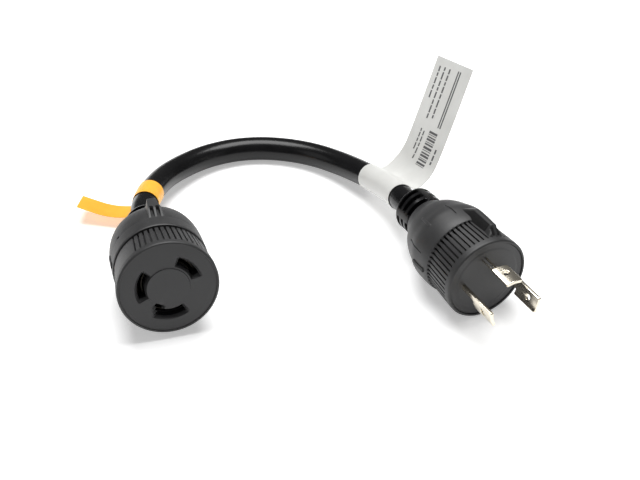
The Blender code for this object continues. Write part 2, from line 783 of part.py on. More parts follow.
def wrapped_label(name, line, start, width, wrap, tail, drift, mat):
    """A label wound once round the cable, with a loose tail.

    wrap is the first and last angle round the cable, and tail is (across, above) points from its middle.
    """
    radius = CABLE_RADIUS + LABEL_GAP + LABEL_THICKNESS / 2
    first, last = (math.radians(a) for a in wrap)
    turns = [first + (last - first) * i / WRAP_STEPS for i in range(WRAP_STEPS + 1)]
    section = [(radius * math.sin(a), radius * math.cos(a)) for a in turns]
    parts = round(width / LABEL_STEP)
    stations = [start + width * j / parts for j in range(parts + 1)]
    rows = [[line.place(s, *point) for s in stations] for point in section]
    middle = start + width / 2
    here = line.place(middle)
    side, high = (line.place(middle, 1, 0) - here), (line.place(middle, 0, 1) - here)
    ahead = high.cross(side)
    for i, (across, above) in enumerate(tail):
        loose = min(1.0, (i + 1) / 4)
        shift = ahead * drift * (i + 1) / len(tail)
        row = []
        for s in stations:
            flat = here + side * across + high * above + ahead * (s - middle) + shift
            row.append(line.place(s, across, above).lerp(flat, loose))
        rows.append(row)
    return ribbon(name, rows, mat)


def labels():
    middle = [LINE.place(distance) for distance in cable_stations()]
    up = Vector((0, 0, 1))
    from_connector, from_plug = Line(middle, up), Line(list(reversed(middle)), up)
    wrapped_label("marker_tag", from_connector, TAG_START, TAG_WIDTH, TAG_WRAP, TAG_TAIL, TAG_DRIFT, YELLOW)
    wrapped_label("flag_label", from_plug, FLAG_START, FLAG_WIDTH, FLAG_WRAP, FLAG_TAIL, 0.0, WHITE)


# ================================================================ build
clear_scene()
PARTS = new_collection("power_adapter_dogbone")
CUTTERS = new_collection("cutters")

RUBBER = material("black_rubber", (0.030, 0.030, 0.032), 0.62)
NYLON = material("black_nylon", (0.022, 0.022, 0.024), 0.50)
JACKET = material("cable_jacket_black", (0.012, 0.012, 0.013), 0.38)
NICKEL = material("nickel_plate", (0.72, 0.70, 0.64), 0.22, 1.0)
BRASS = material("brass", (0.72, 0.55, 0.28), 0.30, 1.0)
COPPER = material("copper", (0.80, 0.45, 0.30), 0.30, 1.0)
WIRE_BLACK = material("wire_black", (0.02, 0.02, 0.02), 0.50)
WIRE_WHITE = material("wire_white", (0.80, 0.80, 0.78), 0.50)
WIRE_GREEN = material("wire_green", (0.05, 0.35, 0.10), 0.50)
COTTON = material("cotton", (0.70, 0.66, 0.56), 0.95)
YELLOW = material("yellow_vinyl", (0.95, 0.50, 0.05), 0.55)
WHITE = material("white_vinyl", (0.78, 0.78, 0.76), 0.50)

CONNECTOR = add_empty("connector_end", CONNECTOR_FACE, CONNECTOR_TILT, CONNECTOR_TURN)
PLUG = add_empty("plug_end", PLUG_FACE, PLUG_TILT, PLUG_TURN)
bpy.context.view_layer.update()
LINE = full_line()
PLUG_LINE = Line(list(reversed(LINE.points)), Vector((0, 0, 1)))

connector_grip()
connector_rear_cover()
connector_face()
contact_carrier()
plug_shell()
plug_face_and_insert()
for pole in ("line", "neutral", "ground"):
    contact(pole)
    blade(pole)
strain_relief("connector_strain_relief", JACKET, CONNECTOR, LINE)
strain_relief("plug_strain_relief", JACKET, PLUG, PLUG_LINE)
cable()
fillers()
labels()
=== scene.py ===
"""Looks of the power adapter dogbone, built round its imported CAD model.

Each end is modelled in its own frame: local +Z points out of its face, +Y is up and +X is to the right of
someone who looks at the face. A depth runs backwards from the face. Angles on a face run clockwise from
its top.
"""

import math

import bmesh
import bpy
from mathutils import Matrix, Vector
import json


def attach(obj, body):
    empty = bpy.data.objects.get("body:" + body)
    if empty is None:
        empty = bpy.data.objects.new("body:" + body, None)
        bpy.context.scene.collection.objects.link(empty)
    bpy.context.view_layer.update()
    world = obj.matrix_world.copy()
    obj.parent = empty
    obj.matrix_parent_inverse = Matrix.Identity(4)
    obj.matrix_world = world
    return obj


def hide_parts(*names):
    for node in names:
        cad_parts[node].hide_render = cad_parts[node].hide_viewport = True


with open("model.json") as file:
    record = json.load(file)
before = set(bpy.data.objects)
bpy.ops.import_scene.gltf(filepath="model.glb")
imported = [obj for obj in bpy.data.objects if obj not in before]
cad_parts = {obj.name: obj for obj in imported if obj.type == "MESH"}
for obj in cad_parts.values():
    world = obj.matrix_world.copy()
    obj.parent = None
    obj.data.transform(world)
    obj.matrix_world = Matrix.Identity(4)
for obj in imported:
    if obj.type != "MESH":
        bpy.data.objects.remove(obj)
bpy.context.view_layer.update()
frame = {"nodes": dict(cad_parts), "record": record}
RECORD = frame["record"]
BODY = "root"

# ---------------------------------------------------------------- cable
CABLE_RADIUS = 0.0070
BEND_START = 0.064  # behind each face, where the rigid end stops and the route takes over
JACKET_START = 0.060
# The cable's middle line from the connector's strain relief, round the back, to the plug's.
ROUTE = [
    (-0.0947, 0.0431, 0.0187),
    (-0.0952, 0.0541, 0.0172),
    (-0.0937, 0.0709, 0.0146),
    (-0.0884, 0.0896, 0.0117),
    (-0.0785, 0.1063, 0.0091),
    (-0.0662, 0.1186, 0.0076),
    (-0.0510, 0.1261, 0.0070),
    (-0.0347, 0.1283, 0.0069),
    (-0.0181, 0.1259, 0.0070),
    (-0.0027, 0.1193, 0.0076),
    (0.0115, 0.1081, 0.0091),
    (0.0243, 0.0931, 0.0120),
    (0.0343, 0.0766, 0.0159),
    (0.0406, 0.0626, 0.0194),
    (0.0453, 0.0501, 0.0223),
]

# ---------------------------------------------------------------- ribs, the same on both ends
RIBS = 54
RIB_PITCH = 2 * math.pi / RIBS
# Where the mesh has points across one rib, in metres to either side of the middle of its groove
RIB_SAMPLES = (0.0, 0.00036, 0.00046, 0.0006, 0.00085, 0.00118)
GROOVE_HALF = (0.00036, 0.0001)  # half width in front, and how much more at its rear end
GROOVE_DEEP = (0.0012, 0.0012)  # the same for how deep it is
GROOVE_WALL = 0.0001

# ---------------------------------------------------------------- connector
CONNECTOR_FACE_INSET = 0.0001  # of the mount behind the front plane
GRIP_OUTER = [
    (0.0237, 0.0004),
    (0.0238, 0.0001),
    (0.0242, 0.0000),
    (0.0247, 0.0002),
    (0.0250, 0.0007),
    (0.0250, 0.0036),
    (0.0235, 0.0194),
    (0.0222, 0.0201),
]
GRIP_INNER = [(0.0206, 0.0204), (0.0206, 0.0056), (0.0237, 0.0056)]
GRIP_GROOVE = (0.0036, 0.0206)  # first and last depth
GRIP_FIRST_GROOVE = math.radians(1.8)
PLAIN_PAD = (math.radians(-75), math.radians(-34.5))
COVER_OUTER = [
    (0.0222, 0.0206),
    (0.0238, 0.0207),
    (0.0240, 0.0210),
    (0.0241, 0.0220),
    (0.0240, 0.0300),
    (0.0236, 0.0380),
    (0.0224, 0.0440),
    (0.0202, 0.0480),
    (0.0172, 0.0512),
    (0.0140, 0.0540),
    (0.0124, 0.0558),
]
COVER_INNER = [
    (0.0083, 0.0560),
    (0.0083, 0.0520),
    (0.0160, 0.0440),
    (0.0160, 0.0250),
    (0.0206, 0.0250),
    (0.0206, 0.0206),
]
COVER_COLUMNS = 216
COVER_MIDDLE = (0.02398, 0.0225, 0.0375)  # radius of the cover's nearly straight part, and its depths
DIMPLE = (math.radians(-51), 0.0304, 0.0009)  # angle, depth behind the face, and radius
DIMPLE_DEEP = 0.0016
CONNECTOR_LUG_ANGLE = math.radians(3)
# A lug's or a ridge's top is (depth, radius), and how wide it is (depth, half width)
CONNECTOR_LUG_TOP = [
    (0.0292, 0.0236),
    (0.0300, 0.0241),
    (0.0352, 0.0262),
    (0.0360, 0.0264),
    (0.0455, 0.0264),
    (0.0500, 0.0210),
]
CONNECTOR_LUG_HALF = [(0.0292, 0.0038), (0.0352, 0.0032), (0.0455, 0.0022), (0.0500, 0.0020)]
CONNECTOR_RIDGE_ANGLE = math.radians(-81)
CONNECTOR_RIDGE_TOP = [(0.0226, 0.0246), (0.0335, 0.0244)]

# ---------------------------------------------------------------- plug
PLUG_FACE_INSET = 0.0005
SHELL_OUTER = [
    (0.0211, 0.0004),
    (0.0212, 0.0001),
    (0.0217, 0.0000),
    (0.0222, 0.0002),
    (0.0225, 0.0007),
    (0.0225, 0.0036),
    (0.0213, 0.0202),
    (0.0220, 0.0209),
    (0.0226, 0.0240),
    (0.0227, 0.0290),
    (0.0224, 0.0340),
    (0.0208, 0.0390),
    (0.0195, 0.0430),
    (0.0177, 0.0470),
    (0.0150, 0.0510),
    (0.0128, 0.0545),
    (0.0122, 0.0559),
]
SHELL_INNER = [
    (0.0083, 0.0560),
    (0.0083, 0.0520),
    (0.0160, 0.0440),
    (0.0160, 0.0185),
    (0.0190, 0.0185),
    (0.0190, 0.0053),
    (0.0211, 0.0053),
]
SHELL_GROOVE = (0.0037, 0.0206)
SHELL_FIRST_GROOVE = math.radians(1.9)
PLUG_LUG_ANGLE = math.radians(15)
PLUG_LUG_TOP = [
    (0.0036, 0.0219),
    (0.0048, 0.0235),
    (0.0083, 0.0263),
    (0.0090, 0.0264),
    (0.0235, 0.0262),
    (0.0300, 0.0228),
]
PLUG_LUG_HALF = [(0.0036, 0.0034), (0.0083, 0.0012), (0.0235, 0.0012), (0.0300, 0.0030)]
PLUG_RIDGE_ANGLE = math.radians(-97)
PLUG_RIDGE_TOP = [(0.0226, 0.0232), (0.0330, 0.0232)]
LUG_FLOOR = 0.0165  # radius of every lug's hidden underside
RIDGE_HALF = 0.0016


# ================================================================ frames and lines
def end_frame(mount_name, inset):
    """An end's frame: its origin is on the front plane, in the middle of the face."""
    mount = next(m for m in RECORD["mounts"] if m["name"] == mount_name)
    out = Vector(mount["axis"]).normalized()
    side = Vector((0, 0, 1)).cross(out).normalized()
    rotation = Matrix((side, out.cross(side), out)).transposed().to_4x4()
    return Matrix.Translation(Vector(mount["pos_m"]) + out * inset) @ rotation


def on_face(radius, angle, depth=0.0):
    return Vector((radius * math.sin(angle), radius * math.cos(angle), -depth))


def smooth_line(points, step):
    """Points about one step apart on a smooth curve through the given points."""
    padded = [2 * points[0] - points[1], *points, 2 * points[-1] - points[-2]]
    line = [points[0]]
    for before, start, end, after in zip(padded, padded[1:], padded[2:], padded[3:]):
        parts = max(1, round((end - start).length / step))
        for i in range(1, parts + 1):
            t = i / parts
            line.append(
                0.5
                * (
                    2 * start
                    + (end - before) * t
                    + (2 * before - 5 * start + 4 * end - after) * t**2
                    + (3 * start - before - 3 * end + after) * t**3
                )
            )
    return line


class Line:
    """A polyline with a frame that turns as little as possible along it."""

    def __init__(self, points):
        self.points = points
        self.at = [0.0]
        for a, b in zip(points, points[1:]):
            self.at.append(self.at[-1] + (b - a).length)
        self.length = self.at[-1]
        self.frames = []
        side = None
        for i in range(len(points)):
            ahead = (points[min(i + 1, len(points) - 1)] - points[max(i - 1, 0)]).normalized()
            side = side or ahead.cross(Vector((0, 0, 1))).normalized()
            side = (side - ahead * side.dot(ahead)).normalized()
            self.frames.append((side, side.cross(ahead)))

    def place(self, distance, across=0.0, above=0.0):
        """The point at a distance along the line, moved across and above it."""
        i = 0
        while i < len(self.at) - 2 and self.at[i + 1] < distance:
            i += 1
        t = (distance - self.at[i]) / (self.at[i + 1] - self.at[i])
        middle = self.points[i].lerp(self.points[i + 1], t)
        t = min(max(t, 0.0), 1.0)
        side = self.frames[i][0].lerp(self.frames[i + 1][0], t).normalized()
        high = self.frames[i][1].lerp(self.frames[i + 1][1], t).normalized()
        return middle + side * across + high * above


def full_line():
    """The middle line from the connector's face to the plug's face."""
    depths = (0.0, 0.020, 0.040, 0.056, BEND_START)
    start = [CONNECTOR @ Vector((0, 0, -d)) for d in depths]
    end = [PLUG @ Vector((0, 0, -d)) for d in reversed(depths)]
    return Line(smooth_line(start + [Vector(p) for p in ROUTE] + end, 0.0015))


# ================================================================ meshes
def mesh_object(name, points, faces, materials, place=None, smooth_below=40):
    """An object from points and faces, smooth where its faces meet at less than an angle in degrees."""
    mesh = bpy.data.meshes.new(name)
    mesh.from_pydata([tuple(p) for p in points], [], faces)
    bm = bmesh.new()
    bm.from_mesh(mesh)
    bmesh.ops.remove_doubles(bm, verts=bm.verts, dist=0.0000005)
    bmesh.ops.recalc_face_normals(bm, faces=bm.faces)
    for edge in bm.edges:
        edge.smooth = len(edge.link_faces) == 2 and edge.calc_face_angle(math.pi) < math.radians(smooth_below)
    for face in bm.faces:
        face.smooth = True
    bm.to_mesh(mesh)
    bm.free()
    obj = bpy.data.objects.new(name, mesh)
    bpy.context.scene.collection.objects.link(obj)
    for mat in materials if isinstance(materials, list) else [materials]:
        mesh.materials.append(mat)
    if place is not None:
        obj.matrix_world = place
    return obj


def show(obj, slot, *nodes):
    """A finished piece: it rides on the body and stands for CAD nodes, which it hides; its slot is not used.
    """
    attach(obj, BODY)
    if nodes:
        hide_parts(*nodes)
    return obj


def divided(profile, step):
    """A profile with points no further apart than a step."""
    result = [profile[0]]
    for (r0, d0), (r1, d1) in zip(profile, profile[1:]):
        parts = max(1, math.ceil(math.hypot(r1 - r0, d1 - d0) / step))
        result += [(r0 + (r1 - r0) * i / parts, d0 + (d1 - d0) * i / parts) for i in range(1, parts + 1)]
    return result


def rounded(profile, first, last, step):
    """A profile whose points from first to last are joined by a smooth curve instead of straight runs."""
    middle = smooth_line([Vector((r, d, 0)) for r, d in profile[first : last + 1]], step)
    return profile[:first] + [(p.x, p.y) for p in middle] + profile[last + 1 :]


def closed_ring(name, outer, inner, angles, dent, materials, place):
    """A turned shell whose outer side is dented by dent(angle, radius, depth), in metres."""
    rows = [[on_face(r - dent(a, r, d), a, d) for a in angles] for r, d in outer]
    rows += [[on_face(r, a, d) for a in angles] for r, d in inner]
    count = len(angles)
    faces = []
    for i in range(len(rows)):
        below = (i + 1) % len(rows)
        for j in range(count):
            ahead = (j + 1) % count
            faces.append((i * count + j, i * count + ahead, below * count + ahead, below * count + j))
    return mesh_object(name, [p for row in rows for p in row], faces, materials, place)


def ease(value, start, end):
    """0 before start, 1 after end, and a smooth change between."""
    t = min(max((value - start) / (end - start), 0.0), 1.0)
    return t * t * (3 - 2 * t)


def turn(angle, middle):
    """The signed turn from a middle angle."""
    return (angle - middle + math.pi) % (2 * math.pi) - math.pi


def rib_angles(first_groove, radius, extra=()):
    """Angles round an end with points where each rib and groove bends."""
    angles = [
        first_groove + RIB_PITCH * k + side * across / radius
        for k in range(RIBS)
        for across in RIB_SAMPLES
        for side in (-1, 1)
    ]
    return sorted({round(a % (2 * math.pi), 6) for a in [*angles, *extra]})


def groove(angle, radius, depth, first_groove, span):
    """How deep the groove between two ribs is: shallow in front, a little wider and deep at its rear end."""
    across = abs(turn(angle, first_groove + RIB_PITCH * round((angle - first_groove) / RIB_PITCH))) * radius
    start = ease(depth, span[0], span[0] + 0.0012)
    rear = ease(depth, span[1] - 0.0024, span[1] - 0.0014)
    half = GROOVE_HALF[0] + GROOVE_HALF[1] * rear
    deep = GROOVE_DEEP[0] + GROOVE_DEEP[1] * rear
    return start * deep * (1 - ease(across, half, half + GROOVE_WALL)) if depth < span[1] else 0.0


# ================================================================ materials
def new_material(name):
    mat = bpy.data.materials.new(name)
    mat.use_nodes = True
    return mat, mat.node_tree.nodes, mat.node_tree.links, mat.node_tree.nodes["Principled BSDF"]


def noise_node(nodes, links, scale, detail, roughness=0.5):
    place = nodes.new("ShaderNodeTexCoord")
    noise = nodes.new("ShaderNodeTexNoise")
    noise.inputs["Scale"].default_value = scale
    noise.inputs["Detail"].default_value = detail
    noise.inputs["Roughness"].default_value = roughness
    links.new(place.outputs["Object"], noise.inputs["Vector"])
    return noise


def ramp_node(nodes, links, source, stops):
    ramp = nodes.new("ShaderNodeValToRGB")
    elements = ramp.color_ramp.elements
    for element, (position, colour) in zip(elements, (stops[0], stops[-1])):
        element.position, element.color = position, (*colour, 1)
    for position, colour in stops[1:-1]:
        elements.new(position).color = (*colour, 1)
    links.new(source, ramp.inputs["Fac"])
    return ramp


def bump_from(nodes, links, shader, source, strength, distance):
    bump = nodes.new("ShaderNodeBump")
    bump.inputs["Strength"].default_value = strength
    bump.inputs["Distance"].default_value = distance
    links.new(source, bump.inputs["Height"])
    links.new(bump.outputs["Normal"], shader.inputs["Normal"])
    return bump


def moulded(name, dark, light, rough, grain, coarse=90, specular=0.5):
    """A moulded surface: fine spark-eroded grain, with slow changes of tone and gloss."""
    mat, nodes, links, shader = new_material(name)
    slow = noise_node(nodes, links, coarse, 4)
    tone = ramp_node(nodes, links, slow.outputs["Fac"], [(0.30, dark), (0.70, light)])
    links.new(tone.outputs["Color"], shader.inputs["Base Color"])
    gloss = nodes.new("ShaderNodeMapRange")
    gloss.inputs["To Min"].default_value, gloss.inputs["To Max"].default_value = rough
    links.new(slow.outputs["Fac"], gloss.inputs["Value"])
    links.new(gloss.outputs["Result"], shader.inputs["Roughness"])
    shader.inputs["Specular IOR Level"].default_value = specular
    fine = noise_node(nodes, links, 5200, 3, 0.6)
    bump_from(nodes, links, shader, fine.outputs["Fac"], grain, 0.00006)
    return mat


def plated(name, colour, rough):
    """Plated sheet metal with fine drawing lines and a few soft smudges."""
    mat, nodes, links, shader = new_material(name)
    shader.inputs["Metallic"].default_value = 1.0
    smudge = noise_node(nodes, links, 160, 5)
    darker = tuple(c * 0.82 for c in colour)
    tone = ramp_node(nodes, links, smudge.outputs["Fac"], [(0.35, darker), (0.62, colour)])
    links.new(tone.outputs["Color"], shader.inputs["Base Color"])
    gloss = nodes.new("ShaderNodeMapRange")
    gloss.inputs["To Min"].default_value, gloss.inputs["To Max"].default_value = rough
    links.new(smudge.outputs["Fac"], gloss.inputs["Value"])
    links.new(gloss.outputs["Result"], shader.inputs["Roughness"])
    place = nodes.new("ShaderNodeTexCoord")
    stretch = nodes.new("ShaderNodeMapping")
    stretch.inputs["Scale"].default_value = (1, 1, 0.04)
    lines = nodes.new("ShaderNodeTexNoise")
    lines.inputs["Scale"].default_value = 6000
    links.new(place.outputs["Object"], stretch.inputs["Vector"])
    links.new(stretch.outputs["Vector"], lines.inputs["Vector"])
    bump_from(nodes, links, shader, lines.outputs["Fac"], 0.10, 0.00002)
    return mat


def film(name, dark, light, rough, through):
    """Printed vinyl film: slow changes of tone, faint ripples and some light through it."""
    mat, nodes, links, shader = new_material(name)
    slow = noise_node(nodes, links, 60, 3)
    tone = ramp_node(nodes, links, slow.outputs["Fac"], [(0.3, dark), (0.7, light)])
    links.new(tone.outputs["Color"], shader.inputs["Base Color"])
    shader.inputs["Roughness"].default_value = rough
    shader.inputs["Subsurface Weight"].default_value = through
    shader.inputs["Subsurface Radius"].default_value = (0.001, 0.001, 0.001)
    ripple = noise_node(nodes, links, 260, 2)
    bump_from(nodes, links, shader, ripple.outputs["Fac"], 0.25, 0.0003)
    return mat


def spun(name, dark, light):
    """Twisted yarn or wire: thin diagonal strands."""
    mat, nodes, links, shader = new_material(name)
    place = nodes.new("ShaderNodeTexCoord")
    wave = nodes.new("ShaderNodeTexWave")
    wave.bands_direction = "DIAGONAL"
    wave.inputs["Scale"].default_value = 900
    wave.inputs["Distortion"].default_value = 2
    links.new(place.outputs["Object"], wave.inputs["Vector"])
    tone = ramp_node(nodes, links, wave.outputs["Fac"], [(0.2, dark), (0.8, light)])
    links.new(tone.outputs["Color"], shader.inputs["Base Color"])
    shader.inputs["Roughness"].default_value = 0.6
    bump_from(nodes, links, shader, wave.outputs["Fac"], 0.5, 0.0001)
    return mat


# ================================================================ connector
def grip_ring():
    """The ribbed ring round the connector's face, with a plain pad between its ribs on the left."""
    outer = divided(GRIP_OUTER, 0.0008)

    def dent(angle, radius, depth):
        left = turn(angle, (PLAIN_PAD[0] + PLAIN_PAD[1]) / 2)
        half = (PLAIN_PAD[1] - PLAIN_PAD[0]) / 2
        if abs(left) < half:
            return 0.0
        return groove(angle, radius, depth, GRIP_FIRST_GROOVE, GRIP_GROOVE)

    angles = rib_angles(GRIP_FIRST_GROOVE, 0.0245)
    ring = closed_ring("grip_ring", outer, GRIP_INNER, angles, dent, BODY_BLACK, CONNECTOR)
    show(ring, "black_rubber", "connector_grip_ring")


def rear_cover():
    """The domed cover behind the ribs, with a small dimple on the left."""
    outer = divided(rounded(COVER_OUTER, 3, 10, 0.0010), 0.0010)
    angle, depth, radius = DIMPLE
    middle, first, last = COVER_MIDDLE
    near = [radius * t / 4 for t in range(-5, 6)]
    extra = [(middle, depth + n) for n in near if first < depth + n < last]
    outer = sorted(outer + extra, key=lambda p: p[1])
    even = [2 * math.pi * i / COVER_COLUMNS for i in range(COVER_COLUMNS)]
    angles = sorted({round(a % (2 * math.pi), 6) for a in even + [angle + n / 0.0240 for n in near]})

    def dent(a, r, d):
        away = math.hypot(turn(a, angle) * r, d - depth)
        return DIMPLE_DEEP * (1 - ease(away, radius * 0.7, radius))

    cover = closed_ring("rear_cover", outer, COVER_INNER, angles, dent, BODY_BLACK, CONNECTOR)
    show(cover, "black_rubber", "connector_rear_cover")


def lug(name, place, angle, shape, half_width, depths, columns=56, rows=110):
    """A grip lug as a fine patch: shape(across, depth) gives its radius and whether it takes the darker black
    of painted shade.
    """
    across = [half_width * (2 * i / columns - 1) for i in range(columns + 1)]
    deep = [depths[0] + (depths[1] - depths[0]) * j / rows for j in range(rows + 1)]
    shapes = [shape(x, d) for d in deep for x in across]
    places = [(x, d) for d in deep for x in across]
    points = [turned_point(x, top, angle, d) for (x, d), (top, dark) in zip(places, shapes)]
    floor = len(points)
    points += [turned_point(x, LUG_FLOOR, angle, d) for x, d in places]
    width = columns + 1
    faces, takes_painted_shade = [], []
    for j in range(rows):
        for i in range(columns):
            a = j * width + i
            corners = (a, a + 1, a + width + 1, a + width)
            faces += [corners, tuple(floor + c for c in reversed(corners))]
            takes_painted_shade += [all(shapes[c][1] for c in corners), False]
    rim = [*range(width), *(j * width + columns for j in range(1, rows + 1))]
    rim += [rows * width + i for i in range(columns - 1, -1, -1)]
    rim += [j * width for j in range(rows - 1, 0, -1)]
    for a, b in zip(rim, rim[1:] + rim[:1]):
        faces.append((b, a, floor + a, floor + b))
    # the second material is the darker black of painted shade, on the faces marked for it
    obj = mesh_object(name, points, faces, [BODY_BLACK, PAINTED_SHADE_BLACK], place, 50)
    for polygon, dark in zip(obj.data.polygons, takes_painted_shade):
        polygon.material_index = int(dark)
    return show(obj, "black_rubber")


def turned_point(across, radius, angle, depth):
    """A local point at a sideways distance and a radius from the axis, turned to an angle."""
    high = math.sqrt(max(radius**2 - across**2, 0.0))
    x = across * math.cos(angle) + high * math.sin(angle)
    y = high * math.cos(angle) - across * math.sin(angle)
    return Vector((x, y, -depth))


def along(table, depth):
    """The value at a depth between (depth, value) pairs."""
    if depth <= table[0][0]:
        return table[0][1]
    for (d0, v0), (d1, v1) in zip(table, table[1:]):
        if depth <= d1:
            return v0 + (v1 - v0) * (depth - d0) / (d1 - d0)
    return table[-1][1]


def connector_lug(across, depth):
    """A gabled lug with two recesses, painted darker as painted shade, and a small rib between them on its
    sloping front.
    """
    top = along(CONNECTOR_LUG_TOP, depth)
    half = along(CONNECTOR_LUG_HALF, depth)
    foot = 0.0195 if depth > 0.044 else 0.0222
    radius = top - (top - foot) * ease(abs(across), half, half + 0.0011)
    recess = ease(abs(across), 0.0006, 0.0010) * (1 - ease(abs(across), 0.0020, 0.0024))
    recess *= ease(depth, 0.0288, 0.0292) * (1 - ease(depth, 0.0366, 0.0374))
    # the recesses are marked for painted shade
    return radius - 0.0021 * recess, recess > 0.5


def plug_lug(across, depth):
    """A long gabled lug with painted shade on each flank, a raised edge round it and a sloping front with a
    painted-shade recess.
    """
    top = along(PLUG_LUG_TOP, depth)
    half = along(PLUG_LUG_HALF, depth)
    radius = top - (top - 0.0205) * ease(abs(across), half, half + 0.0034)
    front = ease(abs(across), 0.0005, 0.0009) * (1 - ease(abs(across), 0.0020, 0.0026))
    front *= ease(depth, 0.0042, 0.0047) * (1 - ease(depth, 0.0078, 0.0084))
    flank = ease(abs(across), half + 0.0003, half + 0.0006) * ease(depth, 0.0092, 0.0096)
    takes_painted_shade = flank > 0.5 and radius > 0.0209 + 0.0006 * ease(depth, 0.019, 0.024)
    # flank and front recesses are marked for painted shade
    return radius - 0.0011 * front - 0.0005 * flank, takes_painted_shade or front > 0.5


def low_ridge(tops):
    """The shape of a low ridge along a table of (depth, radius), with a line of painted shade along its top.
    """
    first, last = tops[0][0], tops[-1][0]

    def shape(across, depth):
        high = ease(depth, first, first + 0.0008) * (1 - ease(depth, last - 0.0008, last))
        high *= 1 - ease(abs(across), 0.0011, 0.0015)
        top = along(tops, depth)
        # the ridge's top is marked for painted shade, a dark line along it
        return top - 0.0016 * (1 - high), high > 0.2

    return shape


def lugs():
    lug("connector_lug", CONNECTOR, CONNECTOR_LUG_ANGLE, connector_lug, 0.0046, (0.0286, 0.0500))
    lug("plug_lug", PLUG, PLUG_LUG_ANGLE, plug_lug, 0.0052, (0.0034, 0.0300))
    for name, place, angle, top in (
        ("connector_ridge", CONNECTOR, CONNECTOR_RIDGE_ANGLE, CONNECTOR_RIDGE_TOP),
        ("plug_ridge", PLUG, PLUG_RIDGE_ANGLE, PLUG_RIDGE_TOP),
    ):
        lug(name, place, angle, low_ridge(top), RIDGE_HALF, (top[0][0], top[-1][0]), 12, 30)


# Slots: first and last angle in degrees, inner and outer radius. The last three make the bottom slot.
SLOTS = [
    (-107, -49, 0.0114, 0.0150),
    (25, 73, 0.0123, 0.0160),
    (153, 208, 0.0124, 0.0163),
    (208, 213, 0.0124, 0.0142),
    (200, 218, 0.0104, 0.0124),
]
SLOT_CHAMFER = 0.0013
SLOT_MOUTH = 0.0016  # how deep the chamfer goes
SLOT_INNER_SHARE = 0.6  # of the chamfer's width, on the side of the face's middle
SLOT_RADIUS = 0.0135
FACE_DEPTHS = (0.0005, 0.0053)
FACE_BOSS = (0.0004, 0.01055, 0.0107)  # height of the raised middle, and the radii of its edge


def connector_face():
    """The face disc: slots with chamfered mouths go right through it, round a slightly raised middle."""
    radii = {0.0, 0.004, 0.008, 0.0100, *FACE_BOSS[1:], 0.0190, 0.0210, 0.0230, 0.02365}
    angles = {float(a) for a in range(-120, 240, 3)}
    degrees_out = math.degrees(SLOT_CHAMFER / SLOT_RADIUS)
    for first, last, inside, outside in SLOTS:
        radii |= {inside - SLOT_CHAMFER * SLOT_INNER_SHARE, inside, outside}
        radii |= {outside + SLOT_CHAMFER, outside + SLOT_CHAMFER * 1.15}
        angles |= {first - degrees_out - 0.6, first - degrees_out, float(first)}
        angles |= {float(last), last + degrees_out, last + degrees_out + 0.6}
    radii, angles = sorted({round(r, 6) for r in radii}), sorted({round(a, 4) for a in angles})

    def level(radius, angle):
        height = FACE_BOSS[0] * (1 - ease(radius, *FACE_BOSS[1:]))
        away = SLOT_CHAMFER
        for first, last, inside, outside in SLOTS:
            short = max(inside - radius, 0.0) / SLOT_INNER_SHARE
            far = max(radius - outside, 0.0)
            aside = max(first - angle, angle - last, 0.0) * math.radians(1) * SLOT_RADIUS
            away = min(away, max(math.hypot(short, aside), math.hypot(far, aside)))
        if away < SLOT_CHAMFER:
            return FACE_DEPTHS[0] + SLOT_MOUTH * (1 - away / SLOT_CHAMFER)
        return FACE_DEPTHS[0] - height

    def is_open(radius, angle):
        return any(i < radius < o and first < angle < last for first, last, i, o in SLOTS)

    count = len(angles)
    turns = [math.radians(a) for a in angles]
    front = [[on_face(r, t, level(r, a)) for t, a in zip(turns, angles)] for r in radii]
    back = [[on_face(r, t, FACE_DEPTHS[1]) for t in turns] for r in radii]
    points = [p for row in front for p in row] + [p for row in back for p in row]
    behind = count * len(radii)
    solid = {}
    for i in range(len(radii) - 1):
        for j in range(count):
            next_angle = angles[j + 1] if j + 1 < count else angles[0] + 360
            solid[i, j] = not is_open((radii[i] + radii[i + 1]) / 2, (angles[j] + next_angle) / 2)
    faces = []
    for (i, j), filled in solid.items():
        if not filled:
            continue
        k = (j + 1) % count
        a, b, c, d = i * count + j, i * count + k, (i + 1) * count + k, (i + 1) * count + j
        faces += [(a, b, c, d), (behind + d, behind + c, behind + b, behind + a)]
        sides = {(i - 1, j): (a, b), (i + 1, j): (d, c), (i, (j - 1) % count): (a, d), (i, k): (b, c)}
        for near, (p, q) in sides.items():
            if near[0] >= 0 and not solid.get(near, False):
                faces.append((p, q, behind + q, behind + p))
    face = mesh_object("connector_face_disc", points, faces, FACE_BLACK, CONNECTOR, 25)
    show(face, "black_nylon", "connector_face")


# ================================================================ plug
# Two thin lines and a raised rib on the dome: angle, first and last depth, half width, flat share of it,
# length of its ends and how deep it is
DOME_MARKS = [
    (math.radians(-5), 0.0280, 0.0390, 0.0004, 0.3, 0.0005, 0.0005),
    (math.radians(-76), 0.0270, 0.0400, 0.0004, 0.3, 0.0005, 0.0005),
    (math.radians(-41), 0.0310, 0.0410, 0.0008, 0.7, 0.0008, -0.0003),
]


def plug_shell():
    """The plug's body: ribs, then a dome with two thin lines and a small raised rib."""
    outer = divided(rounded(SHELL_OUTER, 6, 15, 0.0008), 0.0008)

    def dent(angle, radius, depth):
        deep = groove(angle, radius, depth, SHELL_FIRST_GROOVE, SHELL_GROOVE)
        for middle, first, last, half, flat, end, height in DOME_MARKS:
            across = abs(turn(angle, middle)) * radius
            inside = (1 - ease(across, half * flat, half)) * ease(depth, first, first + end)
            deep += height * inside * (1 - ease(depth, last - end, last))
        return deep

    extra = [mark[0] + t * 0.0002 / 0.022 for mark in DOME_MARKS for t in range(-5, 6)]
    angles = rib_angles(SHELL_FIRST_GROOVE, 0.0220, extra)
    shell = closed_ring("plug_body", outer, SHELL_INNER, angles, dent, BODY_BLACK, PLUG)
    show(shell, "black_rubber", "plug_shell")


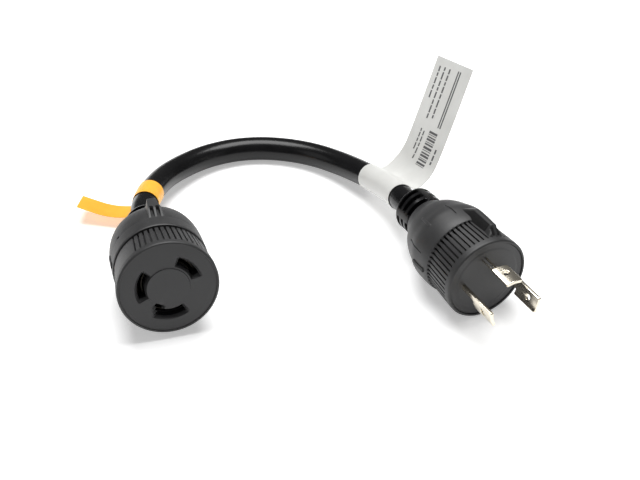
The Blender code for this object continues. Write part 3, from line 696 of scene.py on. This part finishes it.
def plug_face():
    """The plug's plain face disc, with a very shallow step near its rim."""
    profile = [
        (0.0, 0.0005),
        (0.0060, 0.0005),
        (0.0174, 0.0005),
        (0.0176, 0.0006),
        (0.0200, 0.0006),
        (0.0208, 0.0006),
        (0.0210, 0.0009),
    ]
    rows = divided(profile, 0.001) + [(0.0210, 0.0050), (0.0, 0.0050)]
    angles = [2 * math.pi * i / 180 for i in range(180)]
    points = [on_face(r, a, d) for r, d in rows for a in angles]
    count = len(angles)
    faces = []
    for i in range(len(rows) - 1):
        for j in range(count):
            near, far = i * count, (i + 1) * count
            ahead = (j + 1) % count
            faces.append((near + j, near + ahead, far + ahead, far + j))
    show(mesh_object("plug_face_disc", points, faces, FACE_BLACK, PLUG, 30), "black_nylon", "plug_face")


BLADE_RADIUS = 0.0133
BLADE_THICKNESS = 0.0018
BLADE_NOTCH = 0.0085  # how far the neck reaches out of the face
BLADE_FOOT = -0.004
BLADE_EDGE = 0.0003
BLADE_CORNER = 0.0009
BLADE_HOLE = (0.0016, 0.0075)  # radius, and distance from the tip
# Each blade: first and last angle of its neck, then of its tab, in degrees, and its reach
BLADES = {
    "line": ((-98, -86), (-124, -86), 0.0240),
    "neutral": ((98, 110), (85, 123), 0.0252),
    "ground": ((-18, -6), (-20, 18), 0.0216),
}


def round_corners(outline, radius, steps=5):
    """An outline of 2D points whose corners are replaced by arcs."""
    result = []
    for before, corner, after in zip([outline[-1], *outline[:-1]], outline, outline[1:] + outline[:1]):
        back, ahead = before - corner, after - corner
        reach = min(radius, back.length / 2.2, ahead.length / 2.2)
        start, end = corner + back.normalized() * reach, corner + ahead.normalized() * reach
        for i in range(steps + 1):
            t = i / steps
            result.append(start * (1 - t) ** 2 + corner * 2 * t * (1 - t) + end * t**2)
    return result


def blade(name):
    """A curved blade with rounded edges: cut flat with its hole, then bent round the face's middle."""
    neck, tab, reach = BLADES[name]
    arc = math.radians(1) * BLADE_RADIUS
    n0, n1, t0, t1 = (a * arc for a in (*neck, *tab))
    corners = [(n0, BLADE_FOOT), (n1, BLADE_FOOT)]
    if t1 > n1:
        corners += [(n1, BLADE_NOTCH), (t1, BLADE_NOTCH)]
    corners += [(t1, reach), (t0, reach)]
    if t0 < n0:
        corners += [(t0, BLADE_NOTCH), (n0, BLADE_NOTCH)]
    outline = round_corners([Vector((u, v)) for u, v in corners], BLADE_CORNER)
    middle = Vector(((t0 + t1) / 2, reach - BLADE_HOLE[1]))
    turns = [2 * math.pi * i / 28 for i in range(28)]
    hole = [middle + Vector((math.cos(t), math.sin(t))) * BLADE_HOLE[0] for t in turns]
    curve = bpy.data.curves.new(name, "CURVE")
    curve.dimensions, curve.fill_mode = "2D", "BOTH"
    curve.bevel_depth, curve.bevel_resolution, curve.offset = BLADE_EDGE, 2, -BLADE_EDGE
    curve.extrude = BLADE_THICKNESS / 2 - curve.bevel_depth
    for loop in (outline, hole):
        spline = curve.splines.new("POLY")
        spline.points.add(len(loop) - 1)
        spline.use_cyclic_u = True
        for point, place in zip(spline.points, loop):
            point.co = (*place, 0, 1)
    flat = bpy.data.objects.new(name, curve)
    bpy.context.scene.collection.objects.link(flat)
    bpy.context.view_layer.update()
    mesh = bpy.data.meshes.new_from_object(flat.evaluated_get(bpy.context.evaluated_depsgraph_get()))
    bpy.data.objects.remove(flat, do_unlink=True)
    bm = bmesh.new()
    bm.from_mesh(mesh)
    bmesh.ops.remove_doubles(bm, verts=bm.verts, dist=0.00001)
    for i in range(1, 14):
        cut = Vector((t0 + (t1 - t0) * i / 14, 0, 0))
        bmesh.ops.bisect_plane(bm, geom=[*bm.verts, *bm.edges, *bm.faces], plane_co=cut, plane_no=(1, 0, 0))
    points = [on_face(BLADE_RADIUS + v.co.z, v.co.x / BLADE_RADIUS, -v.co.y) for v in bm.verts]
    bm.verts.index_update()
    faces = [[v.index for v in face.verts] for face in bm.faces]
    bm.free()
    show(mesh_object(f"{name}_blade", points, faces, NICKEL, PLUG, 35), "nickel_plate", f"blade_{name}")


# ================================================================ strain reliefs, cable and labels
RELIEF = [
    (0.0112, 0.0563),
    (0.0116, 0.0567),
    (0.0119, 0.0575),
    (0.0119, 0.0680),
    (0.0117, 0.0687),
    (0.0113, 0.0690),
    (0.0076, 0.0690),
]
RELIEF_SLOT_ROWS = (0.0571, 0.0612, 0.0654)
RELIEF_SLOT_WIDTH = 0.0018
RELIEF_SLOTS_ROUND = 4
RELIEF_SLOT_SPAN = math.radians(66)
RELIEF_FIRST_SLOT = math.radians(-33)
RELIEF_SLOT_FLOOR = 0.0082
RELIEF_SLOT_WALL = 0.0002
RELIEF_BORE = 0.0072


def strain_relief(name, node, face_line):
    """The ribbed sleeve behind an end: rings joined by short bridges, bent with the cable."""
    outer = divided(RELIEF, 0.0003)
    inner = [(RELIEF_BORE, RELIEF[-1][1] - 0.0005), (RELIEF_BORE, RELIEF[0][1])]
    angles = [2 * math.pi * i / 180 for i in range(180)]

    def dent(angle, radius, depth):
        pitch = 2 * math.pi / RELIEF_SLOTS_ROUND
        middle = RELIEF_FIRST_SLOT + pitch * round((angle - RELIEF_FIRST_SLOT) / pitch)
        half = RELIEF_SLOT_SPAN / 2
        aside = 1 - ease(abs(turn(angle, middle)), half - 0.05, half + 0.03)
        deep = 0.0
        for row in RELIEF_SLOT_ROWS:
            end = row + RELIEF_SLOT_WIDTH
            inside = ease(depth, row - RELIEF_SLOT_WALL, row + RELIEF_SLOT_WALL)
            inside *= 1 - ease(depth, end - RELIEF_SLOT_WALL, end + RELIEF_SLOT_WALL)
            deep = max(deep, inside * aside)
        return deep * (radius - RELIEF_SLOT_FLOOR) if radius > 0.0090 else 0.0

    piece = closed_ring(name, outer, inner, angles, dent, CABLE_BLACK, None)
    for vertex in piece.data.vertices:
        x, y, z = vertex.co
        vertex.co = face_line.place(-z, x, y)
    show(piece, "cable_jacket_black", node)


JACKET_STEPS = 160


def cable():
    """The jacketed cable, as one cord between the two ends."""
    curve = bpy.data.curves.new("cable", "CURVE")
    curve.dimensions = "3D"
    curve.bevel_depth = CABLE_RADIUS
    curve.bevel_resolution = 10
    curve.use_fill_caps = True
    reach = LINE.length - 2 * JACKET_START
    middle = [LINE.place(JACKET_START + reach * i / JACKET_STEPS) for i in range(JACKET_STEPS + 1)]
    spline = curve.splines.new("POLY")
    spline.points.add(len(middle) - 1)
    for point, place in zip(spline.points, middle):
        point.co = (*place, 1)
    spline.use_smooth = True
    curve.materials.append(CABLE_BLACK)
    piece = bpy.data.objects.new("cable", curve)
    bpy.context.scene.collection.objects.link(piece)
    show(piece, "cable_jacket_black", "cable_jacket")
    return piece, middle[0], reach


def surface(name, rows, thickness, mat, slot, *nodes):
    """A thin closed sheet through rows of points."""
    width = len(rows[0])
    points = [p for row in rows for p in row]
    faces = [
        (i * width + j, i * width + j + 1, (i + 1) * width + j + 1, (i + 1) * width + j)
        for i in range(len(rows) - 1)
        for j in range(width - 1)
    ]
    obj = mesh_object(name, points, faces, mat, None, 80)
    sheet = obj.modifiers.new("Sheet", "SOLIDIFY")
    sheet.thickness, sheet.offset = thickness, 0
    return show(obj, slot, *nodes)


def label_rows(line, start, width, wrap, tail, drift, columns):
    """Rows of points over a label: those once round the cable, then those of its tail."""
    radius = LABEL_RADIUS
    first, last = (math.radians(a) for a in wrap)
    turns = [first + (last - first) * i / 60 for i in range(61)]
    stations = [start + width * j / columns for j in range(columns + 1)]
    rows = [[line.place(s, radius * math.sin(a), radius * math.cos(a)) for s in stations] for a in turns]
    middle = start + width / 2
    here = line.place(middle)
    side, high = line.place(middle, 1, 0) - here, line.place(middle, 0, 1) - here
    ahead = high.cross(side)
    begin = Vector((radius * math.sin(turns[-1]), radius * math.cos(turns[-1]), 0))
    path = smooth_line([begin, *(Vector((*p, 0)) for p in tail)], 0.0012)
    reach = len(path) - 1
    for i, point in enumerate(path[1:], 1):
        loose = ease(i / reach, 0.0, 0.35)
        row = []
        for s in stations:
            flat = here + side * point.x + high * point.y + ahead * (s - middle + drift * i / reach)
            row.append(line.place(s, point.x, point.y).lerp(flat, loose))
        rows.append(row)
    return rows[: len(turns)], rows[len(turns) :]


# A label's start is along the cable's middle line from a face, and its tail is (across, above) points
FLAG_START, FLAG_WIDTH = 0.0835, 0.038
FLAG_WRAP = (62, 410)
FLAG_TAIL = [
    (0.0080, 0.0031),
    (0.0108, 0.0029),
    (0.0140, 0.0044),
    (0.0178, 0.0074),
    (0.0213, 0.0116),
    (0.0262, 0.0198),
    (0.0313, 0.0293),
    (0.0395, 0.0450),
    (0.0478, 0.0612),
]
TAG_START, TAG_WIDTH = 0.0923, 0.0148
TAG_WRAP = (192, 540)
TAG_TAIL = [
    (-0.0060, -0.0077),
    (-0.0120, -0.0092),
    (-0.0190, -0.0095),
    (-0.0260, -0.0086),
    (-0.0330, -0.0066),
    (-0.0400, -0.0044),
]
TAG_DRIFT = 0.0045
LABEL_RADIUS = CABLE_RADIUS + 0.0003
FLAG_THICKNESS, TAG_THICKNESS, PRINT_THICKNESS = 0.00020, 0.00018, 0.00034


def labels():
    wrap, tail = label_rows(LINE, TAG_START, TAG_WIDTH, TAG_WRAP, TAG_TAIL, TAG_DRIFT, 10)
    tag = surface("tag", wrap + tail, TAG_THICKNESS, YELLOW, "yellow_vinyl", "marker_tag")
    wrap, tail = label_rows(PLUG_LINE, FLAG_START, FLAG_WIDTH, FLAG_WRAP, FLAG_TAIL, 0.0, 38)
    flag = surface("flag", wrap + tail, FLAG_THICKNESS, WHITE, "white_vinyl", "flag_label")
    return tag, flag, flag_print(tail)


# Print on the flag's tail. Each line: its first and last place from the cable (0) to the tip (1), where it
# is across the flag from the edge near the plug (0) to the other (1), and its width
PRINT_HEADING = (0.51, 0.95, 0.30, 0.085)
PRINT_LINES = [
    (0.56, 0.94, 0.56, 0.036),
    (0.54, 0.94, 0.70, 0.036),
    (0.69, 0.94, 0.84, 0.036),
    (0.22, 0.45, 0.64, 0.030),
    (0.29, 0.46, 0.73, 0.030),
    (0.24, 0.36, 0.16, 0.040),
]
PRINT_STRIPES = (0.19, 0.46, 0.27, 0.50)  # first and last along the flag, then across it


def print_bars():
    """The rectangles of the print, with lengths that change from one bar to the next."""
    first, last, middle, width = PRINT_HEADING
    bars = [
        ((first, last), (middle - width / 2, middle - width / 6)),
        ((first, last), (middle + width / 6, middle + width / 2)),
    ]
    for line, (first, last, middle, width) in enumerate(PRINT_LINES):
        here, k = first, line
        while here < last - 0.01:
            end = min(here + 0.026 + 0.030 * (k * 7 % 5) / 4, last)
            bars.append(((here, end), (middle - width / 2, middle + width / 2)))
            here = end + 0.010
            k += 1
    first, last, near, far = PRINT_STRIPES
    here, k = first, 0
    while here < last:
        thick = 0.005 + 0.006 * (k * 5 % 3)
        bars.append(((here, here + thick), (near, far)))
        here += thick + 0.008 + 0.004 * (k % 2)
        k += 1
    return bars


def flag_print(rows):
    """Plain grey bars on the flag's tail: a heading, short lines and a block of stripes."""
    bars = print_bars()
    points, faces = [], []

    def at(u, v):
        i, j = u * (len(rows) - 1), v * (len(rows[0]) - 1)
        i0, j0 = min(int(i), len(rows) - 2), min(int(j), len(rows[0]) - 2)
        near = rows[i0][j0].lerp(rows[i0][j0 + 1], j - j0)
        return near.lerp(rows[i0 + 1][j0].lerp(rows[i0 + 1][j0 + 1], j - j0), i - i0)

    for (u0, u1), (v0, v1) in bars:
        steps = max(1, round((u1 - u0) * (len(rows) - 1)))
        for i in range(steps + 1):
            u = u0 + (u1 - u0) * i / steps
            points += [at(u, v0), at(u, v1)]
            if i:
                n = len(points)
                faces.append((n - 4, n - 3, n - 1, n - 2))
    obj = mesh_object("flag_print", points, faces, PRINT, None, 80)
    sheet = obj.modifiers.new("Sheet", "SOLIDIFY")
    sheet.thickness, sheet.offset = PRINT_THICKNESS, 0
    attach(obj, BODY)
    return obj


# ================================================================ stage
FLOOR_WHITE = 0.93
FLOOR_GLOW = 0.38  # a weak light of its own keeps the floor's shadows as faint as the photograph's


def stage():
    bpy.ops.mesh.primitive_plane_add(size=30, location=(0, 0, -0.0002))
    floor = bpy.context.object
    floor.name = "floor"
    mat, *_, shader = new_material("paper_floor")
    shader.inputs["Base Color"].default_value = (FLOOR_WHITE, FLOOR_WHITE, FLOOR_WHITE, 1)
    shader.inputs["Roughness"].default_value = 0.9
    shader.inputs["Emission Color"].default_value = (1, 1, 1, 1)
    shader.inputs["Emission Strength"].default_value = FLOOR_GLOW
    floor.data.materials.append(mat)


def light(name, place, target, size, power, size_y=None):
    data = bpy.data.lights.new(name, "AREA")
    data.shape = "RECTANGLE"
    data.size, data.size_y = size, size_y or size
    data.energy = power
    obj = bpy.data.objects.new(name, data)
    bpy.context.scene.collection.objects.link(obj)
    obj.location = place
    obj.rotation_euler = (Vector(target) - Vector(place)).to_track_quat("-Z", "Y").to_euler()
    return obj


def studio():
    world = bpy.data.worlds.new("studio")
    bpy.context.scene.world = world
    world.use_nodes = True
    world.node_tree.nodes["Background"].inputs["Color"].default_value = (1, 1, 1, 1)
    world.node_tree.nodes["Background"].inputs["Strength"].default_value = 0.15
    light("overhead", (0.0, 0.25, 0.9), (0, 0, 0), 0.8, 13, 0.6)
    light("left_fill", (-0.9, -0.2, 0.5), (0, 0, 0), 0.6, 0.7)
    light("right_fill", (0.9, -0.3, 0.4), (0, 0, 0), 0.6, 0.3)
    bpy.context.scene.view_settings.view_transform = "Standard"


def camera():
    """The camera looks at the middle of the object from in front and above."""
    data = bpy.data.cameras.new("camera")
    data.sensor_width, data.lens = 36, 67.5
    obj = bpy.data.objects.new("camera", data)
    bpy.context.scene.collection.objects.link(obj)
    elevation, away = math.radians(36), 0.613
    target = Vector((-0.0002, 0.0101, 0.0249))
    obj.location = target + Vector((0, -math.cos(elevation), math.sin(elevation))) * away
    obj.rotation_euler = (math.pi / 2 - elevation, 0, 0)
    bpy.context.scene.camera = obj


# ================================================================ build
CONNECTOR = end_frame("connector_mating_face", CONNECTOR_FACE_INSET)
PLUG = end_frame("plug_mating_face", PLUG_FACE_INSET)
LINE = full_line()
PLUG_LINE = Line(list(reversed(LINE.points)))

BODY_BLACK = moulded("body_black", (0.017, 0.017, 0.0175), (0.025, 0.025, 0.026), (0.44, 0.56), 0.55)
# painted shade: a darker black for lug recesses, lug flanks and ridge tops
PAINTED_SHADE_BLACK = moulded(
    "painted_shade_black", (0.004, 0.004, 0.0042), (0.006, 0.006, 0.0063), (0.55, 0.66), 0.4, specular=0.3
)
FACE_BLACK = moulded("face_black", (0.018, 0.018, 0.019), (0.023, 0.023, 0.024), (0.44, 0.54), 0.35)
CABLE_BLACK = moulded(
    "cable_black", (0.003, 0.003, 0.0033), (0.005, 0.005, 0.0055), (0.20, 0.28), 0.15, specular=0.28
)
NICKEL = plated("nickel", (0.80, 0.74, 0.62), (0.14, 0.26))
# painted shade: the contacts' brass is made nearly black for the shade deep in the slots, so it shows no
# glint
CONTACT_METAL_PAINTED_SHADE = plated("contact_metal_painted_shade", (0.035, 0.031, 0.026), (0.50, 0.66))
YELLOW = film("yellow_film", (0.86, 0.40, 0.030), (0.95, 0.47, 0.045), 0.40, 0.1)
PRINT = moulded("print_grey", (0.06, 0.06, 0.062), (0.09, 0.09, 0.092), (0.45, 0.55), 0.05)
WHITE = film("white_film", (0.55, 0.55, 0.53), (0.62, 0.62, 0.60), 0.38, 0.15)

camera()
stage()
studio()

jacket, jacket_end, jacket_length = cable()
strain_relief("connector_relief", "connector_strain_relief", LINE)
strain_relief("plug_relief", "plug_strain_relief", PLUG_LINE)
tag, flag, bars = labels()
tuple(jacket_end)

grip_ring()
rear_cover()
connector_face()
plug_shell()
plug_face()
lugs()
for pole in BLADES:
    blade(pole)

INNER = {
    "contact_carrier": FACE_BLACK,
    "plug_blade_insert": FACE_BLACK,
    "contact_line": CONTACT_METAL_PAINTED_SHADE,
    "contact_neutral": CONTACT_METAL_PAINTED_SHADE,
    "contact_ground": CONTACT_METAL_PAINTED_SHADE,
    "wire_line": moulded("wire_black", (0.014, 0.014, 0.015), (0.022, 0.022, 0.023), (0.38, 0.48), 0.1),
    "wire_neutral": moulded("wire_white", (0.72, 0.72, 0.70), (0.80, 0.80, 0.78), (0.38, 0.48), 0.1),
    "wire_ground": moulded("wire_green", (0.03, 0.26, 0.07), (0.05, 0.33, 0.10), (0.38, 0.48), 0.1),
}
COPPER = spun("copper_strand", (0.55, 0.26, 0.16), (0.85, 0.48, 0.32))
COTTON = spun("cotton_yarn", (0.52, 0.48, 0.40), (0.74, 0.70, 0.60))
STRANDS = {"core": COPPER, "filler": COTTON}
for name, node in frame["nodes"].items():
    mat = INNER.get(name) or STRANDS.get(name.split("_")[0])
    if mat:
        node.data.materials.clear()
        node.data.materials.append(mat)
